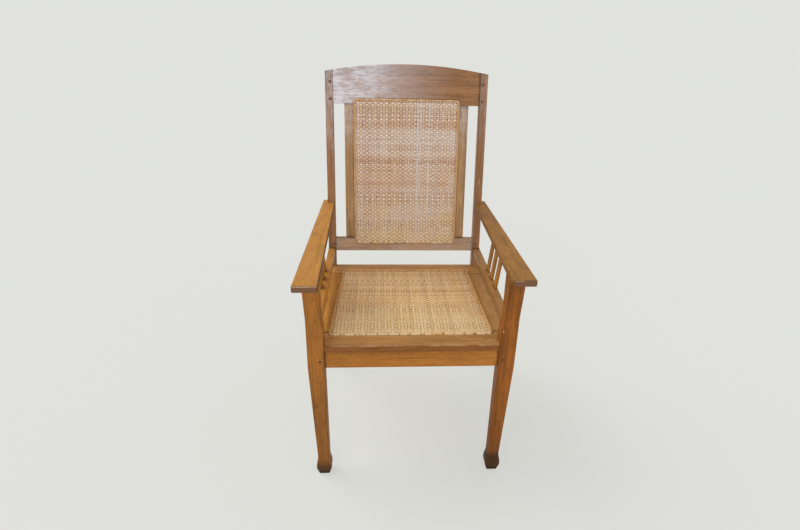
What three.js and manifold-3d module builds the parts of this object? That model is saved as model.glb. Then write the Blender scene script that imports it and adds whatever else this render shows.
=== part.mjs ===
// A caned planters armchair: two front legs on block feet, two raked back posts, a caned seat
// frame, a caned back panel, two flat arms and a low rail with three slats under each arm.
// Millimetres. X runs across the chair, Y from its front to its back, Z up.
import * as THREE from 'three';
import { mergeVertices } from 'three/addons/utils/BufferGeometryUtils.js';
import Module from 'manifold-3d';

const wasm = await Module();
wasm.setup();

// Clearances, edges and cuts that all pieces share
const fit = 0.3; // space between pieces that touch
const easedEdge = 2; // rounding of a planed edge
const overrun = 6; // how far a cutting tool passes the surface that it cuts
const arcSteps = 4; // straight steps in a drawn curve
const crestSteps = 16; // steps in the crest's long arc
const edgeSteps = 2; // steps in an eased edge

// Seat height and the frame that carries it
const seatHeight = 430; // top of the caned seat frame
const frameThickness = 20;
const frameFront = 5; // front edge, behind the front face of the legs
const railDepth = 49.5; // seat rails, below the frame
const railThickness = 22;
const frontRailSetback = 9; // front rail's face, behind the front face of the legs
const railTop = seatHeight - frameThickness - fit;
const railBottom = railTop - railDepth;

// Front legs, right leg's values; the left leg mirrors it
const legSpread = 251.5; // from the chair's middle to the leg's centre line
const legWidth = 43.5; // where the leg is a plain block, beside the seat and its rails
const legDepth = 42;
const blockRise = 40; // the block's top above the seat
const coveRise = 37; // height of the hollow curve above the block
const waistWidth = 39.5;
const waistDepth = 37;
const waistShift = 2.5; // the upper leg leans out and widens towards the arm
const headWidth = 42;
const headDepth = 52;
const headShift = 6.5;
const headLead = 3; // the head's centre, behind the centre of the block
const ankleHeight = 60;
const ankleWidth = 33;
const ankleDepth = 30;
const footRise = 27; // widest place of the block foot
const footBand = 6; // height of its widest band
const footWidth = 42;
const footDepth = 38;
const footLead = 3; // the foot's centre, ahead of the centre of the block
const footShift = 8; // and nearer to the chair's middle
const soleWidth = 30;
const soleDepth = 28;
const legEdge = 3.5; // rounding of the leg's long corners
const curveSteps = 4; // rings in a hollow curve of the leg

// Back posts, which are also the rear legs: sawn from a plank to a bent side profile
const postOuter = 259; // from the chair's middle to the post's outer face
const postWidth = 24;
const postFront = 503; // front face at the seat, behind the front face of the front legs
const postDepth = 34;
const postTopDepth = 27;
const postFootDepth = 28;
const postKick = 37; // how far the foot stands behind the post's front face at the seat
const kneeHeight = 335; // below this the post runs back towards its foot
const backRake = THREE.MathUtils.degToRad(8);

// Back frame, measured up the raked back from the seat's height
const crestBottom = 539;
const crestMiddle = 661; // crest's top in the middle
const crestDrop = 25; // how much lower the crest's arc is at the posts' outer faces
const lowerRailTop = 100;
const lowerRailDepth = 44.5;
const backRailThickness = 22;
const backSetback = 0.5; // rails' and stiles' faces, behind the posts' faces
const stileOuter = 199.5; // from the chair's middle
const stileWidth = 40;
const stileThickness = 18;

// Caned panels: outer edge of the spline that closes each one
const stileShown = 28.5; // from the stiles' outer faces to the panel
const lowerRailLap = 18.5; // how far the panel reaches onto the lower rail
const crestLap = 17; // and onto the crest rail
const backPanelCorner = 15;
const seatPanelHalfWidthFront = 222;
const seatPanelHalfWidthRear = 210;
const seatPanelFront = 56;
const seatPanelGap = 39; // from the panel's rear edge to the posts
const seatPanelCorner = 12;
const splineWidth = 5.4;
const splineProud = 1.6; // above the wood
const splineDepth = 5;
const caneThickness = 1.4;
const caneLipDepth = 4.5; // the cane's edge, pressed down into the groove
const caneMargin = 16; // from the spline's outer edge to the opening in the wood

// Seat frame members
const frameTail = 15; // how far the frame reaches back beside the posts
const frameStubWidth = 24; // tenons of the side members

// Arms
const armRise = 218; // the arms' top above the seat
const armThickness = 16;
const armReachRight = 60; // how far each arm reaches ahead of the front legs
const armReachLeft = 88;
const armRear = 568;
const armOuterFront = 286.5; // from the chair's middle
const armOuterRear = 275.5;
const armInnerFront = 227;
const armInnerRear = 237;
const armCornerRight = 11; // rounding of each arm's inner front corner
const armCornerLeft = 5;
const armOuterCorner = 5;
const armEdge = 2.5;
const armTop = seatHeight + armRise;
const armUnderside = armTop - armThickness;

// Low side rails and their slats
const sideRailRise = 66; // the rails' top above the seat
const sideRailHeight = 24;
const sideRailWidth = 22;
const lowRailStub = 4; // its rear tenon, which stops ahead of the lower back rail's tenon
const slatThickness = 7;
const slatWidth = 26;
const slatCount = 3;
const slatPitch = 56;
const firstSlat = 211; // front slat's centre, behind the front face of the legs
const slatFootSetback = 6; // slat's centre at the rail, inside the rail's outer face
const slatLean = 14; // how much further out its centre is at the arm
const slatSocket = 8; // how deep a slat's ends sit in the rail and in the arm

// Mortise and tenon joints
const tenonThickness = 10;
const tenonLength = 18;
const tenonShoulder = 6; // from a rail's edge to its tenon
const stubLength = 12; // tenons that stop short of their neighbours
const stubThickness = 8;
const legTenon = 24; // square tenon on top of the front leg
const legTenonHeight = 11;

// Pegs through the joints
const railPegRadius = 3.2; // in the front legs
const backPegRadius = 4.6;
const pegProud = 0.8;
const pegLength = 24;
const pegSides = 16;
const railPegSetback = 11; // from the joint line to the peg's centre
const backPegSetback = 8;
const crestPegRise = 13; // lower crest peg, above the crest rail's lower edge
const crestPegPitch = 52; // from the lower crest peg to the upper one
const plugRadius = 2.2;
const plugDepth = 8;
const plugRise = 43; // above the seat
const plugInset = 4; // from the leg's inner edge

// Axes along which a drawn outline is extruded: an outline for x is drawn in Y and Z,
// one for y in X and Z, one for z in X and Y
const unitX = new THREE.Vector3(1, 0, 0);
const unitY = new THREE.Vector3(0, 1, 0);
const unitZ = new THREE.Vector3(0, 0, 1);
const extrudeBasis = {
  x: new THREE.Matrix4().makeBasis(unitY, unitZ, unitX),
  y: new THREE.Matrix4().makeBasis(unitX, unitZ, unitY.clone().negate()),
  z: new THREE.Matrix4(),
};

// Solid operations

function solidOf(geometry) {
  const bare = geometry.clone();
  bare.deleteAttribute('normal');
  bare.deleteAttribute('uv');
  const merged = mergeVertices(bare);
  return new wasm.Manifold(new wasm.Mesh({
    numProp: 3,
    vertProperties: Float32Array.from(merged.attributes.position.array),
    triVerts: Uint32Array.from(merged.index.array),
  }));
}

function geometryOf(solid) {
  const mesh = solid.getMesh();
  const geometry = new THREE.BufferGeometry();
  geometry.setAttribute('position', new THREE.BufferAttribute(Float32Array.from(mesh.vertProperties), 3));
  geometry.setIndex(new THREE.BufferAttribute(Uint32Array.from(mesh.triVerts), 1));
  return geometry;
}

function join(...geometries) {
  return geometryOf(geometries.map(solidOf).reduce((whole, part) => whole.add(part)));
}

function cut(geometry, ...tools) {
  return geometryOf(tools.map(solidOf).reduce((whole, tool) => whole.subtract(tool), solidOf(geometry)));
}

// The same piece for the chair's other side
function mirrored(geometry) {
  const copy = geometry.index ? geometry.clone() : mergeVertices(geometry.clone());
  copy.deleteAttribute('normal');
  copy.scale(-1, 1, 1);
  const index = copy.index.array;
  for (let i = 0; i < index.length; i += 3) {
    [index[i], index[i + 1]] = [index[i + 1], index[i]];
  }
  return copy;
}

function placed(geometry, matrix) {
  return geometry.clone().applyMatrix4(matrix);
}

// Form operations

function extrude(outline, axis, from, to, edge = 0, curveSegments = arcSteps) {
  const geometry = new THREE.ExtrudeGeometry(outline, {
    depth: to - from - 2 * edge,
    curveSegments,
    bevelEnabled: edge > 0,
    bevelThickness: edge,
    bevelSize: edge,
    bevelOffset: -edge,
    bevelSegments: edgeSteps,
  });
  geometry.translate(0, 0, edge + (axis === 'y' ? -to : from));
  return geometry.applyMatrix4(extrudeBasis[axis]);
}

// A closed outline with its corners rounded
function roundedOutline(corners, radius) {
  const outline = new THREE.Shape();
  corners.forEach((corner, i) => {
    const before = corners.at(i - 1);
    const after = corners[(i + 1) % corners.length];
    const start = corner.clone().add(before.clone().sub(corner).setLength(radius));
    const end = corner.clone().add(after.clone().sub(corner).setLength(radius));
    if (i === 0) {
      outline.moveTo(start.x, start.y);
    } else {
      outline.lineTo(start.x, start.y);
    }
    outline.quadraticCurveTo(corner.x, corner.y, end.x, end.y);
  });
  outline.closePath();
  return outline;
}

function rectangle(x0, y0, x1, y1) {
  return [[x0, y0], [x1, y0], [x1, y1], [x0, y1]].map((point) => new THREE.Vector2(...point));
}

// A planed bar with its four long edges eased; low and high are its opposite corners
function bar(axis, low, high) {
  const [a, b] = { x: [1, 2], y: [0, 2], z: [0, 1] }[axis];
  const along = { x: 0, y: 1, z: 2 }[axis];
  const section = roundedOutline(rectangle(low[a], low[b], high[a], high[b]), easedEdge);
  return extrude(section, axis, low[along], high[along], 0, edgeSteps);
}

// A plain block, used for tenons and, with room added all round, for their mortises
function block(low, high, room = 0) {
  const size = high.map((value, i) => value - low[i] + 2 * room);
  const centre = high.map((value, i) => (value + low[i]) / 2);
  return new THREE.BoxGeometry(...size).translate(...centre);
}

function ring(z, centreX, centreY, width, depth) {
  const points = [];
  for (let corner = 0; corner < 4; corner++) {
    const sideX = corner === 0 || corner === 3 ? 1 : -1;
    const sideY = corner < 2 ? 1 : -1;
    for (let step = 0; step <= edgeSteps; step++) {
      const angle = (corner + step / edgeSteps) * Math.PI / 2;
      points.push(new THREE.Vector3(
        centreX + sideX * (width / 2 - legEdge) + legEdge * Math.cos(angle),
        centreY + sideY * (depth / 2 - legEdge) + legEdge * Math.sin(angle),
        z,
      ));
    }
  }
  return points;
}

// A closed solid through level rings, given from the lowest to the highest
function loft(rings) {
  const count = rings[0].length;
  const topStart = (rings.length - 1) * count;
  const index = [];
  for (let level = 0; level < rings.length - 1; level++) {
    for (let i = 0; i < count; i++) {
      const a = level * count + i;
      const b = level * count + (i + 1) % count;
      index.push(a, b, b + count, a, b + count, a + count);
    }
  }
  for (let i = 1; i < count - 1; i++) {
    index.push(0, i + 1, i);
    index.push(topStart, topStart + i, topStart + i + 1);
  }
  const geometry = new THREE.BufferGeometry();
  const positions = rings.flat().flatMap((point) => point.toArray());
  geometry.setAttribute('position', new THREE.Float32BufferAttribute(positions, 3));
  geometry.setIndex(index);
  return geometry;
}

// The back's own frame: X across, Y through its thickness, Z up the raked back
const backFrame = new THREE.Group();
backFrame.position.set(0, postFront, seatHeight);
backFrame.rotation.x = -backRake;
backFrame.updateMatrix();

function backPoint(depth, height) {
  return new THREE.Vector3(0, depth, height).applyMatrix4(backFrame.matrix);
}

// The crest's top: one arc over the rail and both posts
const crestRadius = (postOuter ** 2 + crestDrop ** 2) / (2 * crestDrop);
const crestCentre = crestMiddle - crestRadius;

function addCrestArc(outline, fromX, toX) {
  const angle = (x) => Math.acos(x / crestRadius);
  outline.absarc(0, crestCentre, crestRadius, angle(fromX), angle(toX), fromX < toX);
}

// Front legs

const legInner = legSpread - legWidth / 2;
const legCentreY = legDepth / 2;
const blockTop = seatHeight + blockRise;
const waistHeight = blockTop + coveRise;

function frontLegBody(room = 0) {
  const section = (z, width, depth, shiftX, shiftY) => (
    ring(z, legSpread + shiftX, legCentreY + shiftY, width + 2 * room, depth + 2 * room)
  );
  const ease = (share) => (1 - Math.cos(Math.PI * share)) / 2;
  const mix = THREE.MathUtils.lerp;
  const rings = [
    section(0, soleWidth, soleDepth, -footShift, -footLead),
    section(footRise - footBand, footWidth, footDepth, -footShift, -footLead),
  ];
  for (let step = 0; step <= curveSteps; step++) {
    const share = step / curveSteps;
    const width = mix(footWidth, ankleWidth, ease(share));
    const depth = mix(footDepth, ankleDepth, ease(share));
    rings.push(section(mix(footRise, ankleHeight, share), width, depth, -footShift, -footLead));
  }
  rings.push(section(railBottom, legWidth, legDepth, 0, 0));
  for (let step = 0; step <= curveSteps; step++) {
    const share = step / curveSteps;
    const width = mix(legWidth, waistWidth, ease(share));
    const depth = mix(legDepth, waistDepth, ease(share));
    rings.push(section(mix(blockTop, waistHeight, share), width, depth, mix(0, waistShift, ease(share)), 0));
  }
  rings.push(section(armUnderside - fit, headWidth, headDepth, headShift, headLead));
  return loft(rings);
}

const headCentre = [legSpread + headShift, legCentreY + headLead];

const armTenon = (room) => block(
  [headCentre[0] - legTenon / 2, headCentre[1] - legTenon / 2, armUnderside - overrun],
  [headCentre[0] + legTenon / 2, headCentre[1] + legTenon / 2, armUnderside + legTenonHeight],
  room,
);

function frontLeg() {
  return cut(
    join(frontLegBody(), armTenon(0)),
    frontRailTenon(fit),
    sideRailFrontTenon(fit),
    lowRailFrontTenon(fit),
    frontRailPeg(fit),
  );
}

// Back posts

function postBody(room = 0) {
  const profile = [
    new THREE.Vector2(postFront + postKick - room, 0),
    new THREE.Vector2(postFront + postKick + postFootDepth + room, 0),
    new THREE.Vector2(postFront + postDepth + room, kneeHeight),
    new THREE.Vector2(postFront + postDepth + room, seatHeight),
    ...[[postTopDepth + room, crestMiddle], [-room, crestMiddle], [-room, 0]].map(([depth, height]) => {
      const point = backPoint(depth, height);
      return new THREE.Vector2(point.y, point.z);
    }),
    new THREE.Vector2(postFront - room, kneeHeight),
  ];
  return extrude(new THREE.Shape(profile), 'x', postInner - room, postOuter + room, room > 0 ? 0 : easedEdge);
}

// What lies above the crest's arc, in the back's frame
function aboveCrest() {
  const outline = new THREE.Shape();
  outline.moveTo(postOuter + overrun, crestMiddle + crestDrop);
  outline.lineTo(postInner - overrun, crestMiddle + crestDrop);
  addCrestArc(outline, postInner - overrun, postOuter + overrun);
  outline.closePath();
  return placed(extrude(outline, 'y', -overrun, postDepth + overrun), backFrame.matrix);
}

function rearPost() {
  return cut(
    postBody(),
    aboveCrest(),
    placed(crestTenon(fit), backFrame.matrix),
    placed(lowerRailTenon(fit), backFrame.matrix),
    ...backPegHeights.map((height) => placed(backPeg(height, fit), backFrame.matrix)),
    sideRailRearTenon(fit),
    rearRailTenon(fit),
    lowRailRearTenon(fit),
  );
}

// Seat rails

const postInner = postOuter - postWidth;
const postCentreY = postFront + postDepth / 2;
const sideRailInner = postOuter - railThickness;
const rearRailFace = postFront + stubLength;
const tenonInset = (railThickness - tenonThickness) / 2;
const tenonBottom = railBottom + tenonShoulder;
const tenonTop = railTop - tenonShoulder;

const frontRailTenon = (room) => block(
  [legInner - overrun, frontRailSetback + tenonInset, tenonBottom],
  [legInner + tenonLength, frontRailSetback + tenonInset + tenonThickness, tenonTop],
  room,
);

const sideRailFrontTenon = (room) => block(
  [sideRailInner + tenonInset, legDepth - stubLength, tenonBottom],
  [sideRailInner + tenonInset + tenonThickness, legDepth + overrun, tenonTop],
  room,
);

const sideRailRearTenon = (room) => block(
  [sideRailInner + tenonInset, postFront - overrun, tenonBottom],
  [sideRailInner + tenonInset + tenonThickness, postFront + stubLength, tenonTop],
  room,
);

const rearRailTenon = (room) => block(
  [postInner - overrun, rearRailFace + tenonInset, tenonBottom],
  [postInner + stubLength, rearRailFace + tenonInset + tenonThickness, tenonTop],
  room,
);

function frontSeatRail() {
  const end = legInner - fit;
  const rear = frontRailSetback + railThickness;
  return cut(
    join(
      bar('x', [-end, frontRailSetback, railBottom], [end, rear, railTop]),
      frontRailTenon(0),
      mirrored(frontRailTenon(0)),
    ),
    frontRailPeg(fit),
    mirrored(frontRailPeg(fit)),
  );
}

function rearSeatRail() {
  const end = postInner - fit;
  return join(
    bar('x', [-end, rearRailFace, railBottom], [end, rearRailFace + railThickness, railTop]),
    rearRailTenon(0),
    mirrored(rearRailTenon(0)),
  );
}

function sideSeatRail() {
  return join(
    bar('y', [sideRailInner, legDepth + fit, railBottom], [postOuter, postFront - fit, railTop]),
    sideRailFrontTenon(0),
    sideRailRearTenon(0),
  );
}

// Caned panels. Each one lies in its own frame: X and Y in the panel's plane, Z out of its face,
// with the wood's face at zero. Its outline is given by half widths at two heights of Y.

function panelOutline(panel, inset) {
  const [startHalf, endHalf, start, end, corner] = panel;
  return roundedOutline([
    new THREE.Vector2(-startHalf + inset, start + inset),
    new THREE.Vector2(startHalf - inset, start + inset),
    new THREE.Vector2(endHalf - inset, end - inset),
    new THREE.Vector2(-endHalf + inset, end - inset),
  ], Math.max(corner - inset, easedEdge));
}

function panelRing(panel, outerInset, innerInset, from, to, edge = 0) {
  const outline = panelOutline(panel, outerInset);
  outline.holes.push(new THREE.Path(panelOutline(panel, innerInset).getPoints()));
  return extrude(outline, 'z', from, to, edge);
}

const seatPanelRear = postFront - seatPanelGap;
const backPanelHalfWidth = stileOuter - stileShown;
const backPanelBottom = lowerRailTop - lowerRailLap;
const backPanelTop = crestBottom + crestLap;
const seatPanel = [
  seatPanelHalfWidthFront, seatPanelHalfWidthRear, seatPanelFront, seatPanelRear, seatPanelCorner,
];
const backPanel = [
  backPanelHalfWidth, backPanelHalfWidth, backPanelBottom, backPanelTop, backPanelCorner,
];
const lipOuter = splineWidth + fit;
const lipInner = lipOuter + caneThickness;
const grooveInner = lipInner + fit;
const grooveDepth = splineDepth + fit;

const spline = (panel) => panelRing(panel, 0, splineWidth, -splineDepth, splineProud, splineProud / 2);
const groove = (panel) => panelRing(panel, -fit, grooveInner, -grooveDepth, overrun);
const opening = (panel) => extrude(panelOutline(panel, caneMargin), 'z', -frameThickness - overrun, overrun);

function cane(panel) {
  return join(
    extrude(panelOutline(panel, lipOuter), 'z', fit, fit + caneThickness),
    panelRing(panel, lipOuter, lipInner, -caneLipDepth, fit + caneThickness / 2),
  );
}

// Seat frame: the front and rear members run right across, the side members are tenoned between them

const seatFrame = new THREE.Matrix4().makeTranslation(0, 0, seatHeight);
const frontMemberRear = seatPanelFront + caneMargin;
const rearMemberFront = seatPanelRear - caneMargin;
const frameBottom = seatHeight - frameThickness;
const sideMemberMiddle = (seatPanelHalfWidthFront - caneMargin + postOuter) / 2;
const frameStubBottom = frameBottom + (frameThickness - stubThickness) / 2;

const frameStub = (from, to, room) => block(
  [sideMemberMiddle - frameStubWidth / 2, from, frameStubBottom],
  [sideMemberMiddle + frameStubWidth / 2, to, frameStubBottom + stubThickness],
  room,
);
const frontStub = (room) => frameStub(frontMemberRear - stubLength, frontMemberRear + overrun, room);
const rearStub = (room) => frameStub(rearMemberFront - overrun, rearMemberFront + stubLength, room);

function frameMember(low, high) {
  const outline = new THREE.Shape(rectangle(low[0], low[1], high[0], high[1]));
  return extrude(outline, 'z', frameBottom, seatHeight, easedEdge);
}

function frontFrameMember() {
  return cut(
    frameMember([-postOuter, frameFront], [postOuter, frontMemberRear]),
    frontLegBody(fit),
    mirrored(frontLegBody(fit)),
    frontStub(fit),
    mirrored(frontStub(fit)),
    placed(groove(seatPanel), seatFrame),
    placed(opening(seatPanel), seatFrame),
  );
}

function rearFrameMember() {
  return cut(
    frameMember([-postOuter, rearMemberFront], [postOuter, postFront + frameTail]),
    postBody(fit),
    mirrored(postBody(fit)),
    rearStub(fit),
    mirrored(rearStub(fit)),
    placed(groove(seatPanel), seatFrame),
    placed(opening(seatPanel), seatFrame),
  );
}

function sideFrameMember() {
  const inner = seatPanelHalfWidthRear - 2 * caneMargin;
  return join(
    cut(
      frameMember([inner, frontMemberRear + fit], [postOuter, rearMemberFront - fit]),
      placed(groove(seatPanel), seatFrame),
      placed(opening(seatPanel), seatFrame),
    ),
    frontStub(0),
    rearStub(0),
  );
}

// Back frame pieces, in the back's frame

const lowerRailBottom = lowerRailTop - lowerRailDepth;
const railEnd = postInner - fit;
const backTenonFace = backSetback + (backRailThickness - tenonThickness) / 2;
const stileInner = stileOuter - stileWidth;
const stileTenonFace = backSetback + (stileThickness - stubThickness) / 2;
const backPegX = postInner + backPegSetback;
const lowerCrestPeg = crestBottom + crestPegRise;
const crestPegHeights = [lowerCrestPeg, lowerCrestPeg + crestPegPitch];
const backPegHeights = [...crestPegHeights, (lowerRailTop + lowerRailBottom) / 2];
const panelBasis = extrudeBasis.y.clone().setPosition(0, backSetback, 0);

const backTenon = (bottom, top, room) => block(
  [railEnd - overrun, backTenonFace, bottom],
  [postInner + tenonLength, backTenonFace + tenonThickness, top],
  room,
);
const crestTenon = (room) => backTenon(
  crestBottom + tenonShoulder,
  crestMiddle - crestDrop - tenonShoulder,
  room,
);
const lowerRailTenon = (room) => backTenon(
  lowerRailBottom + tenonShoulder,
  lowerRailTop - tenonShoulder,
  room,
);
const stileStub = (from, to, room) => block(
  [stileInner + tenonShoulder, stileTenonFace, from],
  [stileOuter - tenonShoulder, stileTenonFace + stubThickness, to],
  room,
);
const stileTopStub = (room) => stileStub(crestBottom - overrun, crestBottom + stubLength, room);
const stileBottomStub = (room) => stileStub(lowerRailTop - stubLength, lowerRailTop + overrun, room);

// A peg driven in from the front; its place is that of its shown end
function peg(radius, length, x, y, z, room) {
  const shaft = new THREE.CylinderGeometry(radius + room, radius + room, length + 2 * room, pegSides);
  return shaft.translate(x, y + length / 2, z);
}

const backPeg = (height, room) => peg(backPegRadius, pegLength, backPegX, -pegProud, height, room);

function crestRail() {
  const outline = new THREE.Shape();
  outline.moveTo(-railEnd, crestBottom);
  outline.lineTo(railEnd, crestBottom);
  addCrestArc(outline, railEnd, -railEnd);
  outline.closePath();
  const faceEdge = easedEdge / 2;
  const rear = backSetback + backRailThickness;
  const body = extrude(outline, 'y', backSetback, rear, faceEdge, crestSteps);
  return cut(
    join(body, crestTenon(0), mirrored(crestTenon(0))),
    ...crestPegHeights.flatMap((height) => [backPeg(height, fit), mirrored(backPeg(height, fit))]),
    stileTopStub(fit),
    mirrored(stileTopStub(fit)),
    placed(groove(backPanel), panelBasis),
  );
}

function lowerBackRail() {
  const height = backPegHeights.at(-1);
  const rear = backSetback + backRailThickness;
  return cut(
    join(
      bar('x', [-railEnd, backSetback, lowerRailBottom], [railEnd, rear, lowerRailTop]),
      lowerRailTenon(0),
      mirrored(lowerRailTenon(0)),
    ),
    backPeg(height, fit),
    mirrored(backPeg(height, fit)),
    stileBottomStub(fit),
    mirrored(stileBottomStub(fit)),
    placed(groove(backPanel), panelBasis),
  );
}

function backStile() {
  const rear = backSetback + stileThickness;
  return cut(
    join(
      bar('z', [stileInner, backSetback, lowerRailTop + fit], [stileOuter, rear, crestBottom - fit]),
      stileTopStub(0),
      stileBottomStub(0),
    ),
    placed(groove(backPanel), panelBasis),
  );
}

// Low side rails and slats

const sideRailTop = seatHeight + sideRailRise;
const lowRailInner = postOuter - sideRailWidth;
const lowRailBottom = sideRailTop - sideRailHeight;
const lowRailMiddle = (sideRailTop + lowRailBottom) / 2;
const lowRailTenonInner = lowRailInner + (sideRailWidth - stubThickness) / 2;
const lowRailPostFace = backPoint(0, lowRailMiddle - seatHeight).y;

const lowRailTenon = (from, to, room) => block(
  [lowRailTenonInner, from, lowRailMiddle - stubThickness],
  [lowRailTenonInner + stubThickness, to, lowRailMiddle + stubThickness],
  room,
);
const lowRailFrontTenon = (room) => lowRailTenon(
  legCentreY + waistDepth / 2 - stubLength,
  legDepth + overrun,
  room,
);
const lowRailRearTenon = (room) => lowRailTenon(
  lowRailPostFace - overrun,
  lowRailPostFace + lowRailStub,
  room,
);

function lowSideRail() {
  return cut(
    join(
      cut(
        bar('y', [lowRailInner, legCentreY, lowRailBottom], [postOuter, postCentreY, sideRailTop]),
        frontLegBody(fit),
        postBody(fit),
      ),
      lowRailFrontTenon(0),
      lowRailRearTenon(0),
    ),
    ...slatPlaces.map((place) => placed(slat(fit), place)),
  );
}

// A slat leans out from the rail to the arm; its ends sit in sockets
const slatFoot = new THREE.Vector3(postOuter - slatFootSetback, 0, sideRailTop);
const slatHead = new THREE.Vector3(slatFoot.x + slatLean, 0, armUnderside);
const slatAngle = Math.atan2(slatHead.x - slatFoot.x, slatHead.z - slatFoot.z);
const slatLength = slatFoot.distanceTo(slatHead) + 2 * slatSocket;

const slatPlaces = Array.from({ length: slatCount }, (_, i) => {
  const middle = slatFoot.clone().add(slatHead).multiplyScalar(0.5);
  middle.y = firstSlat + i * slatPitch;
  const turn = new THREE.Matrix4().makeRotationY(slatAngle);
  return turn.setPosition(middle);
});

function slat(room = 0) {
  const half = [slatThickness / 2 + room, slatWidth / 2 + room, slatLength / 2 + room];
  return room > 0 ? block(half.map((value) => -value), half) : bar('z', half.map((value) => -value), half);
}

// Arms: flat boards on the legs, notched round the posts

function arm(front, innerCorner) {
  const postFace = backPoint(0, armTop - seatHeight).y;
  const insidePost = postFace + postTopDepth / 2;
  const outline = new THREE.Shape();
  outline.moveTo(armOuterFront, front + armOuterCorner);
  outline.lineTo(armOuterRear, armRear - armOuterCorner);
  outline.quadraticCurveTo(armOuterRear, armRear, armOuterRear - armOuterCorner, armRear);
  outline.lineTo(postOuter - easedEdge, armRear);
  outline.lineTo(postOuter - easedEdge, insidePost);
  outline.lineTo(armInnerRear, insidePost);
  outline.lineTo(armInnerFront, front + innerCorner);
  outline.quadraticCurveTo(armInnerFront, front, armInnerFront + innerCorner, front);
  outline.lineTo(armOuterFront - armOuterCorner, front);
  outline.quadraticCurveTo(armOuterFront, front, armOuterFront, front + armOuterCorner);
  outline.closePath();
  return cut(
    extrude(outline, 'z', armUnderside, armTop, armEdge),
    postBody(fit),
    armTenon(fit),
    ...slatPlaces.map((place) => placed(slat(fit), place)),
  );
}

// Pegs

const frontRailPegX = legInner + railPegSetback;
const frontRailPegZ = (railTop + railBottom) / 2;

function frontRailPeg(room = 0) {
  return peg(railPegRadius, pegLength, frontRailPegX, -pegProud, frontRailPegZ, room);
}

function legPlug(room = 0) {
  return peg(plugRadius, plugDepth, legInner + plugInset, -pegProud / 2, seatHeight + plugRise, room);
}

// Finishes

const finish = (color, roughness = 0.6) => new THREE.MeshStandardMaterial({ color, roughness, metalness: 0 });
const honeyTeak = finish(0xa5703a);
const redTeak = finish(0x8a5527);
const greyTeak = finish(0x83624c, 0.7);
const darkPeg = finish(0x5a3a22);
const palePlug = finish(0xb99a70);
const wovenCane = finish(0xc8a87c, 0.75);
const goldenReed = finish(0xc79a4e, 0.65);

// The chair

const chair = new THREE.Group();
const back = new THREE.Group().copy(backFrame);
chair.add(back);

function piece(parent, name, geometry, material) {
  const mesh = new THREE.Mesh(geometry, material);
  mesh.name = name;
  parent.add(mesh);
  return mesh;
}

function pair(parent, name, geometry, material) {
  piece(parent, `${name}_right`, geometry, material);
  piece(parent, `${name}_left`, mirrored(geometry), material);
}

piece(chair, 'front_leg_right', cut(frontLeg(), legPlug(fit)), redTeak);
piece(chair, 'front_leg_left', mirrored(frontLeg()), redTeak);
piece(chair, 'leg_plug_right', legPlug(), palePlug);
pair(chair, 'rear_post', rearPost(), greyTeak);
piece(chair, 'front_seat_rail', frontSeatRail(), redTeak);
piece(chair, 'rear_seat_rail', rearSeatRail(), redTeak);
pair(chair, 'side_seat_rail', sideSeatRail(), redTeak);
pair(chair, 'front_rail_peg', frontRailPeg(), darkPeg);

piece(chair, 'seat_frame_front', frontFrameMember(), honeyTeak);
piece(chair, 'seat_frame_rear', rearFrameMember(), honeyTeak);
pair(chair, 'seat_frame_side', sideFrameMember(), honeyTeak);
piece(chair, 'seat_cane', placed(cane(seatPanel), seatFrame), wovenCane);
piece(chair, 'seat_spline', placed(spline(seatPanel), seatFrame), goldenReed);

piece(chair, 'arm_right', arm(-armReachRight, armCornerRight), honeyTeak);
piece(chair, 'arm_left', mirrored(arm(-armReachLeft, armCornerLeft)), honeyTeak);
pair(chair, 'low_side_rail', lowSideRail(), honeyTeak);
slatPlaces.forEach((place, i) => pair(chair, `side_slat_${i + 1}`, placed(slat(), place), honeyTeak));

piece(back, 'crest_rail', crestRail(), greyTeak);
piece(back, 'lower_back_rail', lowerBackRail(), greyTeak);
pair(back, 'back_stile', backStile(), greyTeak);
piece(back, 'back_cane', placed(cane(backPanel), panelBasis), wovenCane);
piece(back, 'back_spline', placed(spline(backPanel), panelBasis), goldenReed);
const pegNames = ['crest_peg_lower', 'crest_peg_upper', 'lower_rail_peg'];
pegNames.forEach((name, i) => pair(back, name, backPeg(backPegHeights[i], 0), darkPeg));

// The origin is on the floor under the middle of the chair's length
chair.updateMatrixWorld(true);
const extent = new THREE.Box3().setFromObject(chair, true);
chair.position.y = -(extent.min.y + extent.max.y) / 2;

const model = new THREE.Group();
model.add(chair);
export default model;
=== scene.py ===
"""Looks of a caned planters armchair: old teak, close-woven cane, reed and pegs.

Metres. X runs across the chair, Y from its front to its back, Z up.
"""

import math

import bmesh
import bpy
from mathutils import Euler, Matrix, Vector


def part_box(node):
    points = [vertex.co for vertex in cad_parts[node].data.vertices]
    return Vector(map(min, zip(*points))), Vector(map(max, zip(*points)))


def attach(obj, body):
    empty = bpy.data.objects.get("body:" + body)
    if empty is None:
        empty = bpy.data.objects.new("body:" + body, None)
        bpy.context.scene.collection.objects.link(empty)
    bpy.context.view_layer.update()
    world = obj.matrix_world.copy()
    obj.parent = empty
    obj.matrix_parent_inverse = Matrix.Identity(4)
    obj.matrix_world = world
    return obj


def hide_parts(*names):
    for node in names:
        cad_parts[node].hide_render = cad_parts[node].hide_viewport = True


bl_info = {
    "name": "Caned planters armchair",
    "version": (1, 0, 0),
    "blender": (4, 5, 0),
    "location": "3D View > Sidebar > Armchair",
    "description": "Wood, woven cane, reed, pegs and studio of a caned armchair",
    "category": "Object",
}

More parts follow.
